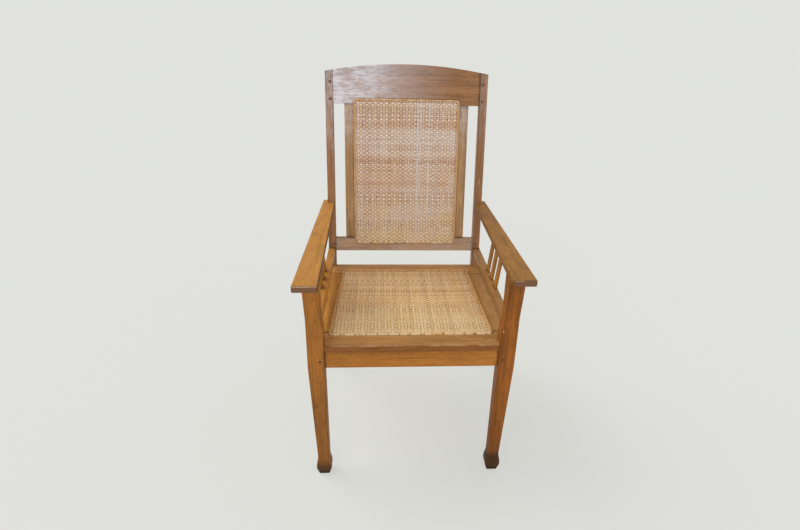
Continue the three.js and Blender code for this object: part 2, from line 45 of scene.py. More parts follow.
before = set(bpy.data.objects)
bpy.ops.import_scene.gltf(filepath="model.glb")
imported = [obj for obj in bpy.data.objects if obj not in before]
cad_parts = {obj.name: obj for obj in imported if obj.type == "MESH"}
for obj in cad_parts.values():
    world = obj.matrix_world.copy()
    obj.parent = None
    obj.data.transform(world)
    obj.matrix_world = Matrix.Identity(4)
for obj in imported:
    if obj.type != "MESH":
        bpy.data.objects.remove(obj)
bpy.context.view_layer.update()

MILLIMETRE = 0.001
BODY = "root"
SIDES = ("right", "left")

# Where the raked back and both caned panels stand in the chair
BACK_RAKE = math.radians(8)
FRAME_FRONT = 5 * MILLIMETRE  # seat frame's front edge, behind the legs' front faces
POST_FRONT = 503 * MILLIMETRE  # posts' front faces at the seat, behind the legs' front faces
BACK_FACE = 0.5 * MILLIMETRE  # back rails' faces, behind the posts' front faces
SEAT_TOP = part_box("seat_frame_rear")[1].z
LEGS_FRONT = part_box("seat_frame_front")[0].y - FRAME_FRONT
SEAT_PLACE = Matrix.Translation((0, LEGS_FRONT, SEAT_TOP))
BACK_PLACE = (
    Matrix.Translation((0, LEGS_FRONT + POST_FRONT, SEAT_TOP))
    @ Matrix.Rotation(-BACK_RAKE, 4, "X")
    @ Matrix.Translation((0, BACK_FACE, 0))
    @ Matrix.Rotation(math.radians(90), 4, "X")
)


class CanedPanel:
    """A panel's half widths at its two ends, where these lie, its corners' rounding and its place.

    The lengths are given in millimetres and kept in metres.
    """

    def __init__(self, half_start, half_end, start, end, corner, place):
        self.half_start = half_start * MILLIMETRE
        self.half_end = half_end * MILLIMETRE
        self.start = start * MILLIMETRE
        self.end = end * MILLIMETRE
        self.corner = corner * MILLIMETRE
        self.place = place
        self.middle = (self.start + self.end) / 2
        self.half_length = (self.end - self.start) / 2


PANELS = {
    "seat": CanedPanel(222, 210, 56, 464, 12, SEAT_PLACE),
    "back": CanedPanel(171, 171, 81.5, 556, 15, BACK_PLACE),
}


def linear(red, green, blue):
    """A screen colour from 0 to 255 as the light that it stands for."""
    shares = [value / 255 for value in (red, green, blue)]
    return [s / 12.92 if s <= 0.04045 else ((s + 0.055) / 1.055) ** 2.4 for s in shares]


def opaque(colour):
    return (*colour[:3], 1.0)


def times(tone, *factors):
    """A tone made darker or paler, by one factor or by one each for its red, green and blue."""
    return [min(1.0, value * factor) for value, factor in zip(tone, factors * 3)]


def added(name, data):
    """A new object in the scene."""
    item = bpy.data.objects.new(name, data)
    bpy.context.collection.objects.link(item)
    return item


# Settings


def colour_setting(name, description, screen):
    return bpy.props.FloatVectorProperty(
        name=name, description=description, subtype="COLOR", size=3, min=0, max=1, default=linear(*screen)
    )


def number_setting(name, description, value, **limits):
    return bpy.props.FloatProperty(name=name, description=description, default=value, **limits)


def length_setting(name, description, millimetres):
    value = millimetres * MILLIMETRE
    return number_setting(name, description, value, subtype="DISTANCE", unit="LENGTH", min=0)


def share_setting(name, description, value):
    return number_setting(name, description, value, subtype="FACTOR", min=0, max=1)


def angle_setting(name, description, degrees):
    return number_setting(name, description, math.radians(degrees), subtype="ANGLE", unit="ROTATION")


class TimberSettings(bpy.types.PropertyGroup):
    """Tones and figure of the teak."""

    honey: colour_setting("Honey teak", "Arms, side rails and slats", (191, 131, 52))
    seat: colour_setting("Seat teak", "Seat frame", (186, 134, 74))
    red: colour_setting("Red-brown teak", "Left front leg and seat rails", (178, 113, 42))
    leg: colour_setting("Dark leg teak", "Right front leg", (162, 94, 26))
    grey: colour_setting("Weathered teak", "Posts and crest of the back", (161, 115, 77))
    ochre: colour_setting("Ochre teak", "Stiles and lower rail of the back", (183, 145, 102))
    # The sun's greying of the back, with a painted pale sky reflection on its front faces
    greyed_and_sky_sheen: colour_setting("Bleached teak", "Where the sun has greyed the back", (238, 234, 242))
    # Tone of the dirt on the feet and in the joints, and of the painted shade on the arms' sides, along the
    # reeds and at the joints
    soil_and_shade: colour_setting("Soiled wood", "Feet and dirt in the joints", (60, 38, 20))
    # The seat frame's front edge and the arms' ends are darkened with painted shade, over the arms' darker
    # end grain; the pale worn corners are partly wear and partly a painted highlight
    shaded: colour_setting("Front edge", "Front edge of the seat frame", (144, 82, 28))
    end_grain_and_shade: colour_setting("End grain", "Front ends of the arms", (138, 98, 72))
    corner_wear_and_highlight: colour_setting("Worn corners", "Where hands and legs have rubbed a corner pale", (206, 174, 138))
    peg: colour_setting("Peg", "End grain of the pegs in the back", (130, 98, 80))
    rail_peg: colour_setting("Rail peg", "End grain of the pegs in the front legs", (104, 68, 38))
    plug: colour_setting("Plug", "Pale plug in the front leg", (196, 168, 128))
    contrast: share_setting("Figure contrast", "How dark the grain lines are", 0.6)
    ring_spacing: length_setting("Ring spacing", "Width of one year's growth", 5.0)
    rounding: length_setting("Rounding", "Rounding of the square corners", 0.7)


class CaneSettings(bpy.types.PropertyGroup):
    """The woven panels."""

    warp_pitch: length_setting("Warp pitch", "From one upright strand to the next", 9.15)
    weft_pitch: length_setting("Weft pitch", "From one crosswise strand to the next", 6.3)
    cover: share_setting("Cover", "Share of the pitch that a strand fills", 0.92)
    thickness: length_setting("Thickness", "Thickness of a strand", 0.95)
    rise: length_setting("Rise", "How far a strand goes up and down", 0.55)
    level: length_setting("Level", "Height of the weave's middle above the wood", 1.05)
    sag: length_setting("Sag", "Hollow in the middle of the seat", 3.0)
    weft: colour_setting("Weft", "Polished crosswise strands", (250, 232, 212))
    warp: colour_setting("Warp", "Upright strands", (228, 190, 154))
    # Painted shade in the dips where a strand goes under another, also the tone of the strands' fibres
    dip: colour_setting("Dips", "Where a strand goes under another", (132, 58, 32))
    # Tone of the painted highlights and sheen on the strands, and of worn strands
    sheen: colour_setting("Sheen", "Pale worn strands", (248, 240, 232))
    seed: bpy.props.IntProperty(name="Seed", description="Choice of strand tones", default=7)


class ReedSettings(bpy.types.PropertyGroup):
    """The reed that holds each woven panel in its groove."""

    width: length_setting("Width", "Width of the reed", 5.4)
    proud: length_setting("Proud", "Height above the wood", 1.6)
    depth: length_setting("Depth", "Depth in the groove", 4.8)
    tie_pitch: length_setting("Tie pitch", "From one tie to the next", 29.5)
    pinch: share_setting("Pinch", "How much narrower the reed is at a tie", 0.14)
    golden: colour_setting("Golden reed", "The reed's own colour", (222, 174, 118))
    # Tone of the painted glints on the reed
    worn: colour_setting("Worn reed", "Pale stretches of the reed", (250, 226, 184))


class StudioSettings(bpy.types.PropertyGroup):
    """Camera, lamps and floor."""

    camera_place: bpy.props.FloatVectorProperty(
        name="Camera place", description="Where the camera stands", subtype="TRANSLATION", unit="LENGTH",
        default=(-0.0884, -1.4126, 1.1831),
    )
    pitch: angle_setting("Pitch", "How far the camera looks down", 23.12)
    yaw: angle_setting("Yaw", "How far the camera looks to the right", 4.15)
    roll: angle_setting("Roll", "How far the camera leans", 1.75)
    lens: number_setting("Lens", "Focal length in millimetres", 23.519, min=1)
    shift: bpy.props.FloatVectorProperty(
        name="Shift", description="Camera shift across and up", size=2, default=(-0.0173, -0.0142)
    )
    sky: number_setting("Sky", "Strength of the even light", 0.58, min=0)
    floor: colour_setting("Floor", "Pale floor and backdrop", (225, 226, 221))
    reach: length_setting("Floor reach", "Radius of the floor", 6000)


# Node trees


def joined(operation, swapped=False):
    """A method that puts a quantity and another value into one node of sums."""

    def method(self, other):
        values = (other, self) if swapped else (self, other)
        return self.recipe.math(operation, *values)

    return method


class Quantity:
    """An output of a node, a number or a vector, that further nodes take up."""

    def __init__(self, recipe, socket):
        self.recipe = recipe
        self.socket = socket

    __add__ = __radd__ = joined("ADD")
    __sub__ = joined("SUBTRACT")
    __rsub__ = joined("SUBTRACT", swapped=True)
    __mul__ = __rmul__ = joined("MULTIPLY")
    __truediv__ = joined("DIVIDE")
    __pow__ = joined("POWER")
    __gt__ = joined("GREATER_THAN")

    def __neg__(self):
        return self * -1.0

    def __abs__(self):
        return self.recipe.math("ABSOLUTE", self)

    def clamp(self):
        return self.recipe.math("MULTIPLY", self, 1.0, clamp=True)

    def fraction(self):
        return self.recipe.math("FRACT", self)

    def smooth(self, low, high):
        """0 on the near side of low, 1 beyond high and a soft step between them."""
        inputs = {"Value": self, "From Min": low, "From Max": high}
        return self.recipe.node("ShaderNodeMapRange", inputs, interpolation_type="SMOOTHSTEP")

    def split(self):
        """The three numbers of a vector."""
        return self.recipe.node("ShaderNodeSeparateXYZ", {"Vector": self}, ("X", "Y", "Z"))

    def noise(self, stretch, detail=2.0, roughness=0.5):
        """Noise from 0 to 1 at a place, with so many features to a metre along each axis."""
        scaled = self.recipe.vector_math("MULTIPLY", self, stretch)
        inputs = {"Vector": scaled, "Scale": 1.0, "Detail": detail, "Roughness": roughness}
        return self.recipe.node("ShaderNodeTexNoise", inputs)

    def patches(self, stretch, low, high, detail=2.0, roughness=0.5):
        """Patches where the noise at a place is high, with a soft edge from low to high."""
        return self.noise(stretch, detail, roughness).smooth(low, high)


class Recipe:
    """A node tree that is written down step by step."""

    def __init__(self, tree):
        self.tree = tree
        self.tree.nodes.clear()

    def node(self, kind, inputs=None, output=0, **settings):
        """Adds a node, with its settings first and then the values or links of its sockets."""
        made = self.tree.nodes.new(kind)
        for name, value in settings.items():
            setattr(made, name, value)
        for name, value in (inputs or {}).items():
            self.feed(made.inputs[name], value)
        if not made.outputs:
            return None
        if isinstance(output, tuple):
            return [Quantity(self, made.outputs[name]) for name in output]
        return Quantity(self, made.outputs[output])

    def feed(self, socket, value):
        """Gives a socket its number, its link or, from a list, its several links."""
        if isinstance(value, Quantity):
            self.tree.links.new(value.socket, socket)
        elif isinstance(value, list):
            for part in value:
                self.tree.links.new(part.socket, socket)
        else:
            socket.default_value = value

    def math(self, operation, *values, clamp=False):
        return self.node("ShaderNodeMath", dict(enumerate(values)), operation=operation, use_clamp=clamp)

    def highest(self, first, second):
        return self.math("MAXIMUM", first, second)

    def vector_math(self, operation, *values):
        output = "Value" if operation == "LENGTH" else "Vector"
        return self.node("ShaderNodeVectorMath", dict(enumerate(values)), output, operation=operation)

    def combine(self, x, y, z):
        return self.node("ShaderNodeCombineXYZ", {"X": x, "Y": y, "Z": z})

    def mix(self, share, first, second):
        """A colour between two others."""
        colours = [value if isinstance(value, Quantity) else opaque(value) for value in (first, second)]
        return self.node("ShaderNodeMix", {0: share, 6: colours[0], 7: colours[1]}, 2, data_type="RGBA")

    def layers(self, colour, *coats):
        """Lays coats over a colour, one after the other, each given as its share and its tone."""
        for share, tone in coats:
            colour = self.mix(share, colour, tone)
        return colour

    def place(self):
        """Where a point of the surface lies in the chair."""
        return self.node("ShaderNodeTexCoord", output="Object")

    def facing(self):
        """How far the surface faces along X, Y and Z."""
        return self.node("ShaderNodeNewGeometry", output="Normal").split()

    def attribute(self, name):
        """A number that a geometry tree has kept at each point."""
        return self.node("ShaderNodeAttribute", output="Fac", attribute_name=name)

    def seen(self):
        """1 for what the camera looks at directly, on the floor and the backdrop."""
        return self.node("ShaderNodeLightPath", output="Is Camera Ray")


def material_recipe(name):
    material = bpy.data.materials.new(name)
    material.use_nodes = True
    return material, Recipe(material.node_tree)


def finish_surface(recipe, colour, roughness, height, relief, specular=0.25):
    """Ends a material in one shader, with its relief as a bump."""
    bump = recipe.node("ShaderNodeBump", {"Height": height, "Strength": 1.0, "Distance": relief})
    inputs = {"Base Color": colour, "Roughness": roughness, "Specular IOR Level": specular, "Normal": bump}
    shader = recipe.node("ShaderNodeBsdfPrincipled", inputs)
    recipe.node("ShaderNodeOutputMaterial", {"Surface": shader})


# Outlines of the caned panels, in numbers or in the quantities of a node tree


def half_width_at(along, half_start, half_end, start, end):
    """Half of a panel's width, which changes evenly from its start to its end."""
    return half_start + (half_end - half_start) * ((along - start) / (end - start))


def past_outline(recipe, x, y, half_width, half_length, corner):
    """How far a point lies past the straight parts of a panel's sides, and past its outline."""
    over_x = abs(x) - half_width + corner
    over_y = abs(y) - half_length + corner
    outer = recipe.combine(recipe.highest(over_x, 0.0), recipe.highest(over_y, 0.0), 0.0)
    inner = recipe.math("MINIMUM", recipe.highest(over_x, over_y), 0.0)
    return over_x, over_y, recipe.vector_math("LENGTH", outer) + inner - corner


# Teak

GRAIN_TURNS = {"x": (0, 0, 0), "y": (0, 0, -math.pi / 2), "z": (0, math.pi / 2, 0)}
HEART_DISTANCE = 75 * MILLIMETRE  # from the middle of a board to the heart of its tree
HEART_TURN = 2.4  # from one board to the next round the heart, in radians
TRUNK_STEP = 1.7  # from one board to the next along the trunk
RING_SWAY = 30 * MILLIMETRE  # how far the growth rings wander
TEAK_RELIEF = 0.3 * MILLIMETRE


def grain_place(recipe, node, grain, raked, seed):
    """Coordinates with the grain along their first axis and the heart of the tree at their zero.

    Also gives the place itself, and how far a point is from the nearer end of the board.
    """
    turn = Vector(GRAIN_TURNS[grain]) + Vector((BACK_RAKE if raked else 0, 0, 0))
    low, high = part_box(node)
    centre = Euler(turn).to_matrix() @ ((low + high) / 2)
    half_length = (high - low)["xyz".index(grain)] / 2
    angle = seed * HEART_TURN
    heart = Vector((seed * TRUNK_STEP, HEART_DISTANCE * math.cos(angle), HEART_DISTANCE * math.sin(angle)))
    place = recipe.place()
    inputs = {"Vector": place, "Location": heart - centre, "Rotation": turn}
    along = recipe.node("ShaderNodeMapping", inputs)
    from_end = half_length - abs(along.split()[0] - heart.x)
    return place, along, from_end


def teak(node, tone, grain, seed, raked=False, changes=(), joint=0.0, figured=1.0):
    """Old waxed teak with growth rings, long streaks, fibres, open pores, and dirt with painted shade at
    its joints.

    The joint is the length of the board that is hidden in its neighbours at each end, figured is
    how much of the usual figure the board has, and the changes then follow in turn.
    """
    timber = bpy.context.scene.armchair_timber
    material, recipe = material_recipe(node)
    place, along, from_end = grain_place(recipe, node, grain, raked, seed)
    _, across, through = along.split()
    sway = along.noise((2.2, 9, 9), detail=3) * RING_SWAY
    year = (recipe.math("SQRT", across * across + through * through) + sway) / timber.ring_spacing
    late = year.fraction() ** 4.0
    inputs = {"W": recipe.math("FLOOR", year)}
    vigour = recipe.node("ShaderNodeTexWhiteNoise", inputs, "Value", noise_dimensions="1D")
    rings = late * (vigour * 0.45 + 0.12)
    bands = along.patches((1.6, 30, 30), 0.46, 0.66)
    streaks = along.patches((3.2, 120, 120), 0.5, 0.72, detail=4, roughness=0.6)
    fibre = along.noise((14, 700, 700), detail=3, roughness=0.65)
    figure = (rings + bands * 0.4 + streaks * 0.5) * figured + (0.6 - fibre) * 0.5
    worn = along.patches((5, 22, 22), 0.56, 0.74, detail=3, roughness=0.6)
    brown = along.patches((4, 16, 16), 0.55, 0.75)
    mottle = along.patches((16, 46, 46), 0.45, 0.68, detail=3, roughness=0.6)
    flecks = along.patches((14, 160, 160), 0.62, 0.72)
    pores = along.patches((55, 1500, 1500), 0.6, 0.7, detail=1)
    # Darker towards the joints: dirt, with painted shade where the board meets its neighbours
    ragged = (along.noise((20, 60, 60), detail=3) - 0.5) * (12 * MILLIMETRE)
    dirt = (from_end - joint + ragged).smooth(9 * MILLIMETRE, -1 * MILLIMETRE)
    colour = recipe.layers(
        times(tone, 1.18),
        (figure.clamp(), times(tone, 1 - 0.75 * timber.contrast)),
        (worn * 0.35, times(tone, 1.5)),
        (brown * 0.4, times(tone, 0.72, 0.58, 0.5)),
        (mottle * 0.4, times(tone, 0.6)),
        (flecks * 0.45, times(tone, 1.7)),
        (pores * 0.5, times(tone, 0.3)),
        (dirt * 0.7, timber.soil_and_shade),
    )
    for change in changes:
        colour = change(recipe, timber, place, colour)
    roughness = 0.44 + pores * 0.2 + streaks * 0.12 + dirt * 0.15
    height = fibre * 0.4 + (1 - late) * 0.25 - pores * 0.8
    finish_surface(recipe, colour, roughness, height, TEAK_RELIEF)
    return material


# Changes to a board's colour: heights in metres, strengths as shares

BARE_BROWN = (0.03, 0.012, 0.003)
# These streaks carry both the greying and the painted sky reflection
STREAKS = {"x": (36, 150, 170), "z": (170, 150, 36)}  # fineness of greyed streaks along the grain


def soiled_below(top, fade, strength):
    """Dirties the wood below a height, over the length of the fade."""

    def change(recipe, timber, place, colour):
        _, _, z = place.split()
        ragged = place.noise((60, 60, 25), detail=3)
        share = (z + (ragged - 0.5) * fade).smooth(top, top - fade)
        return recipe.mix(share * (ragged * 0.6 + 0.7) * strength, colour, timber.soil_and_shade)

    return change


def deepened(start, full, strength):
    """Deepens the tone from one height to another."""

    def change(recipe, timber, place, colour):
        _, _, z = place.split()
        return recipe.mix(z.smooth(start, full) * strength, colour, BARE_BROWN)

    return change


def greyed_and_sky_sheen(grain, strength, edge=1.0, fade=0.1, low=0.75, high=1.0, broken=0.65):
    """Greys the front faces in broken streaks, left of an edge and from a low to a high place: sun-greyed
    wood with a painted pale reflection of the sky on it.
    """

    def change(recipe, timber, place, colour):
        x, _, z = place.split()
        _, backwards, _ = recipe.facing()
        ragged = place.noise((13, 13, 22), detail=4, roughness=0.6)
        fine = place.noise(STREAKS[grain], detail=3, roughness=0.65)
        side = (x + (ragged - 0.5) * fade).smooth(edge + fade, edge - fade)
        rise = (z + (fine - 0.5) * 0.05).smooth(low, high)
        blotch = (fine * 0.6 + ragged * 0.4).smooth(0.4, 0.6)
        front = backwards.smooth(-0.3, -0.8)
        share = side * rise * front * (blotch * broken + (1 - broken)) * strength
        return recipe.mix(share, colour, timber.greyed_and_sky_sheen)

    return change


def front_shade_and_corner_highlight(node, tone, strength, worn):
    """Darkens the edge that a board turns to the front, as painted shade, and paints its upper corner pale,
    as wear with a painted highlight.
    """
    low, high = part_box(node)
    corner = 3 * MILLIMETRE

    def change(recipe, timber, place, colour):
        _, y, z = place.split()
        streaks = place.patches((14, 70, 420), 0.42, 0.62, detail=3, roughness=0.6)
        broken = place.patches((30, 30, 30), 0.34, 0.62, detail=3)
        ahead = y.smooth(low.y + corner, low.y)
        near_front = y.smooth(low.y + corner, low.y + corner / 3)
        near_top = z.smooth(high.z - corner, high.z - corner / 2)
        return recipe.layers(
            colour,
            (ahead * strength, tone),
            (ahead * streaks * 0.35, times(tone, 0.35)),
            (near_front * near_top * broken * worn, timber.corner_wear_and_highlight),
        )

    return change


def side_shade_and_dirt(strength):
    """Darkens the faces that a board turns to the left and to the right with painted shade and some dirt,
    which hands rub less.
    """

    def change(recipe, timber, place, colour):
        rightwards, _, _ = recipe.facing()
        ragged = place.noise((50, 30, 200), detail=3)
        share = abs(rightwards).smooth(0.35, 0.85)
        return recipe.mix(share * (ragged * 0.6 + 0.7) * strength, colour, timber.soil_and_shade)

    return change


def reed_line_shade_and_grime(name, strength):
    """Paints a line of contact shade, with some dirt, in the wood along the outside of a panel's reed."""
    panel = PANELS[name]
    widths = (panel.half_start, panel.half_end, panel.start, panel.end)

    def change(recipe, timber, place, colour):
        x, y, z = place.split()
        _, backwards, upwards = recipe.facing()
        if name == "seat":
            along, facing = y - LEGS_FRONT, upwards
        else:
            along, facing = (z - SEAT_TOP) / math.cos(BACK_RAKE), -backwards
        sizes = (half_width_at(along, *widths), panel.half_length, panel.corner)
        _, _, past = past_outline(recipe, x, along - panel.middle, *sizes)
        ragged = (place.noise((60, 60, 60), detail=3) - 0.5) * (4 * MILLIMETRE)
        near = (past + ragged).smooth(3.5 * MILLIMETRE, 0.5 * MILLIMETRE)
        return recipe.mix(near * facing.smooth(0.3, 0.8) * strength, colour, timber.soil_and_shade)

    return change


# Boards

MERGE_DISTANCE = 0.01 * MILLIMETRE
FLAT_ANGLE = math.radians(0.5)  # faces that meet at less than this become one
CORNER_ANGLE = math.radians(50)  # faces that meet at more than this get a rounded corner


def worn_copy(node, material, slot):
    """A smooth copy of a solid: its triangles merged and its square corners rounded."""
    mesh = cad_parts[node].data.copy()
    mesh.name = f"{node}_wood"
    edit = bmesh.new()
    edit.from_mesh(mesh)
    bmesh.ops.remove_doubles(edit, verts=edit.verts, dist=MERGE_DISTANCE)
    bmesh.ops.dissolve_limit(edit, angle_limit=FLAT_ANGLE, verts=edit.verts, edges=edit.edges)
    for face in edit.faces:
        face.smooth = True
    edit.to_mesh(mesh)
    edit.free()
    mesh.materials.clear()
    mesh.materials.append(material)
    piece = added(f"{node}_wood", mesh)
    bevel = piece.modifiers.new("worn corners", "BEVEL")
    bevel.width = bpy.context.scene.armchair_timber.rounding
    bevel.segments = 2
    bevel.limit_method = "ANGLE"
    bevel.angle_limit = CORNER_ANGLE
    bevel.use_clamp_overlap = True
    normals = piece.modifiers.new("flat faces", "WEIGHTED_NORMAL")
    normals.keep_sharp = True
    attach(piece, BODY)
    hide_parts(node)


def dress(node, slot, tone, grain, seed, **look):
    """Gives a board its teak and its worn corners."""
    worn_copy(node, teak(node, tone, grain, seed, **look), slot)


# Trees that make the cane and the reed


def tree_recipe(name, numbers, materials):
    """A geometry tree with named inputs: its geometry, then numbers, then materials."""
    tree = bpy.data.node_groups.new(name, "GeometryNodeTree")
    tree.interface.new_socket("Geometry", in_out="OUTPUT", socket_type="NodeSocketGeometry")
    kinds = {"Geometry": ("Geometry",), "Float": numbers, "Material": materials}
    for kind, labels in kinds.items():
        for label in labels:
            tree.interface.new_socket(label, in_out="INPUT", socket_type=f"NodeSocket{kind}")
    recipe = Recipe(tree)
    labels = ("Geometry", *numbers, *materials)
    given = dict(zip(labels, recipe.node("NodeGroupInput", output=labels)))
    return tree, recipe, given


def end_tree(recipe, geometry):
    """Ends a geometry tree in a smooth, plain mesh."""
    smooth = recipe.node("GeometryNodeSetShadeSmooth", {"Geometry": geometry, "Shade Smooth": True})
    real = recipe.node("GeometryNodeRealizeInstances", {"Geometry": smooth})
    recipe.node("NodeGroupOutput", {"Geometry": real})


def grown(name, tree, values, start=None):
    """The plain mesh that a geometry tree makes."""
    carrier = added(name, start or bpy.data.meshes.new(name))
    modifier = carrier.modifiers.new(name, "NODES")
    modifier.node_group = tree
    for item in tree.interface.items_tree:
        if item.in_out == "INPUT" and item.name in values:
            modifier[item.identifier] = values[item.name]
    graph = bpy.context.evaluated_depsgraph_get()
    mesh = bpy.data.meshes.new_from_object(carrier.evaluated_get(graph))
    bpy.data.objects.remove(carrier)
    mesh.name = name
    return mesh


def stored(recipe, geometry, name, value):
    """Keeps a number at each point for the material to read."""
    inputs = {"Geometry": geometry, "Name": name, "Value": value}
    return recipe.node("GeometryNodeStoreNamedAttribute", inputs, data_type="FLOAT", domain="POINT")


def swept(recipe, curve, section, material):
    """A section swept along curves, kept upright, with closed ends."""
    upright = recipe.node("GeometryNodeSetCurveNormal", {"Curve": curve}, mode="Z_UP")
    inputs = {"Curve": upright, "Profile Curve": section, "Fill Caps": True}
    mesh = recipe.node("GeometryNodeCurveToMesh", inputs)
    return recipe.node("GeometryNodeSetMaterial", {"Geometry": mesh, "Material": material})


def parallel_lines(recipe, reach, pitch, crossing, towards):
    """Straight lines side by side, with points where they are crossed and half-way between.

    Also gives half the length of a line and half the width of them all.
    """
    rows = recipe.math("ROUND", reach * 2 / pitch) + 1
    steps = recipe.math("ROUND", reach * 2 / crossing) * 2 + 1
    run = (steps - 1) * crossing / 4
    spread = (rows - 1) * pitch / 2
    ends = {"Start": towards(-run, 0.0), "End": towards(run, 0.0)}
    line = recipe.node("GeometryNodeCurvePrimitiveLine", ends, mode="POINTS")
    line = recipe.node("GeometryNodeResampleCurve", {"Curve": line, "Count": steps})
    inputs = {"Count": rows, "Start Location": towards(0.0, -spread), "Offset": towards(0.0, pitch)}
    places = recipe.node("GeometryNodeMeshLine", inputs)
    copies = recipe.node("GeometryNodeInstanceOnPoints", {"Points": places, "Instance": line})
    return recipe.node("GeometryNodeRealizeInstances", {"Geometry": copies}), run, spread


STRAND_SIDES = 6
FULLNESS = 1.1  # makes up for the strand's few sides
SETTLING = 6 * MILLIMETRE  # over which a strand goes down to its end under the reed


def strand_section(recipe, given, pitch):
    """The flat oval section of a strand."""
    inputs = {"Resolution": STRAND_SIDES, "Radius": 0.5}
    circle = recipe.node("GeometryNodeCurvePrimitiveCircle", inputs, mode="RADIUS")
    size = recipe.combine(pitch * given["Cover"] * FULLNESS, given["Thickness"] * FULLNESS, 1.0)
    return recipe.node("GeometryNodeTransform", {"Geometry": circle, "Scale": size})


def strand_family(recipe, given, crosswise):
    """One family of parallel strands, each going over and under the strands that it crosses."""
    pitch, crossing = given["Warp Pitch"], given["Weft Pitch"]
    if crosswise:
        pitch, crossing = crossing, pitch
    side = 1.0 if crosswise else -1.0

    def towards(forward, sideways, upwards=0.0):
        """A vector from its lengths along, across and above the strands."""
        x, y = (forward, sideways) if crosswise else (sideways, forward)
        return recipe.combine(x, y, upwards)

    strands, run, spread = parallel_lines(recipe, given["Reach"], pitch, crossing, towards)
    x, y, _ = recipe.node("GeometryNodeInputPosition").split()
    forward, sideways = (x, y) if crosswise else (y, x)
    row = recipe.math("ROUND", (sideways + spread) / pitch)
    parity = 1 - 2 * recipe.math("MODULO", row, 2.0)
    wave = recipe.math("COSINE", (forward + run) / crossing * math.pi) * parity * side
    lean = recipe.combine(forward, row * 3.1, side).noise((45, 1, 1)) - 0.5
    inputs = {"Vector": recipe.combine(row, given["Seed"] + side, 0.0)}
    tone = recipe.node("ShaderNodeTexWhiteNoise", inputs, "Value", noise_dimensions="2D")

    sizes = [given[label] for label in ("Half Start", "Half End", "Start", "End")]
    half_width = half_width_at(y + given["Middle"], *sizes)
    u, v = x / half_width, y / given["Half Length"]
    hollow = (1 - u * u).clamp() * (1 - v * v).clamp() * given["Sag"]
    corner, tuck = given["Corner"], given["Tuck"]
    over_x, over_y, past = past_outline(recipe, x, y, half_width, given["Half Length"], corner)
    over_end, over_side = (over_x, over_y) if crosswise else (over_y, over_x)
    beyond = past + tuck

    strands = stored(recipe, strands, "strand_height", wave)
    strands = stored(recipe, strands, "strand_tone", tone)
    outside = recipe.highest(beyond - crossing / 2, over_side - corner + tuck)
    inputs = {"Geometry": strands, "Selection": outside > 0.0}
    strands = recipe.node("GeometryNodeDeleteGeometry", inputs, domain="POINT")
    pull = -recipe.math("SIGN", forward) * recipe.highest(beyond, 0.0)
    wander = (lean * 0.28 + (tone - 0.5) * 0.1) * pitch
    settle = (corner - over_end - tuck).smooth(SETTLING, 0.0)
    rise = given["Rise"]
    height = wave * rise * (1 - settle * 0.8) - settle * rise - hollow
    inputs = {"Geometry": strands, "Offset": towards(pull, wander, height)}
    strands = recipe.node("GeometryNodeSetPosition", inputs)
    material = given["Weft Material"] if crosswise else given["Warp Material"]
    return swept(recipe, strands, strand_section(recipe, given, pitch), material)


def weave_tree():
    """Two families of flat strands in plain weave, cut to a panel with rounded corners."""
    numbers = (
        "Half Start", "Half End", "Start", "End", "Middle", "Half Length", "Reach", "Corner", "Tuck",
        "Warp Pitch", "Weft Pitch", "Cover", "Thickness", "Rise", "Sag", "Seed",
    )
    tree, recipe, given = tree_recipe("close weave", numbers, ("Warp Material", "Weft Material"))
    families = [strand_family(recipe, given, crosswise) for crosswise in (True, False)]
    end_tree(recipe, recipe.node("GeometryNodeJoinGeometry", {"Geometry": families}))
    return tree


REED_STEPS = 12  # rings of the reed from one tie to the next


def reed_tree():
    """A rounded strip along a path, pinched where it is tied down."""
    numbers = ("Width", "Proud", "Depth", "Rounding", "Tie Pitch", "Pinch")
    tree, recipe, given = tree_recipe("reed strip", numbers, ("Material",))
    height = given["Proud"] + given["Depth"]
    inputs = {"Width": given["Width"], "Height": height}
    box = recipe.node("GeometryNodeCurvePrimitiveQuadrilateral", inputs, mode="RECTANGLE")
    inputs = {"Curve": box, "Count": 4, "Radius": given["Rounding"]}
    rounded = recipe.node("GeometryNodeFilletCurve", inputs, mode="POLY")
    rise = recipe.combine(0.0, given["Proud"] - height / 2, 0.0)
    section = recipe.node("GeometryNodeTransform", {"Geometry": rounded, "Translation": rise})
    inputs = {"Curve": given["Geometry"], "Length": given["Tie Pitch"] / REED_STEPS}
    path = recipe.node("GeometryNodeResampleCurve", inputs, mode="LENGTH")
    run = recipe.node("GeometryNodeSplineParameter", output="Length")
    from_middle = abs((run / given["Tie Pitch"]).fraction() - 0.5)
    tie = from_middle.smooth(0.38, 0.48)
    path = stored(recipe, path, "reed_tie", tie)
    inputs = {"Curve": path, "Radius": 1 - tie * given["Pinch"]}
    path = recipe.node("GeometryNodeSetCurveRadius", inputs)
    end_tree(recipe, swept(recipe, path, section, given["Material"]))
    return tree


def outline_path(panel, inset, corner_steps=6):
    """Points round a panel, from the middle of its far side back to it."""
    half_start, half_end = panel.half_start - inset, panel.half_end - inset
    low, high = panel.start + inset, panel.end - inset
    reach = panel.corner - inset
    corners = [
        Vector((half_end, high)), Vector((half_start, low)),
        Vector((-half_start, low)), Vector((-half_end, high)),
    ]
    gap = 0.3 * MILLIMETRE  # between the reed's two ends
    points = [Vector((gap, high))]
    for i, corner in enumerate(corners):
        before = corners[i - 1]
        after = corners[(i + 1) % len(corners)]
        start = corner + (before - corner).normalized() * reach
        end = corner + (after - corner).normalized() * reach
        for step in range(corner_steps + 1):
            t = step / corner_steps
            points.append(start * (1 - t) ** 2 + corner * 2 * t * (1 - t) + end * t**2)
    points.append(Vector((-gap, high)))
    return points


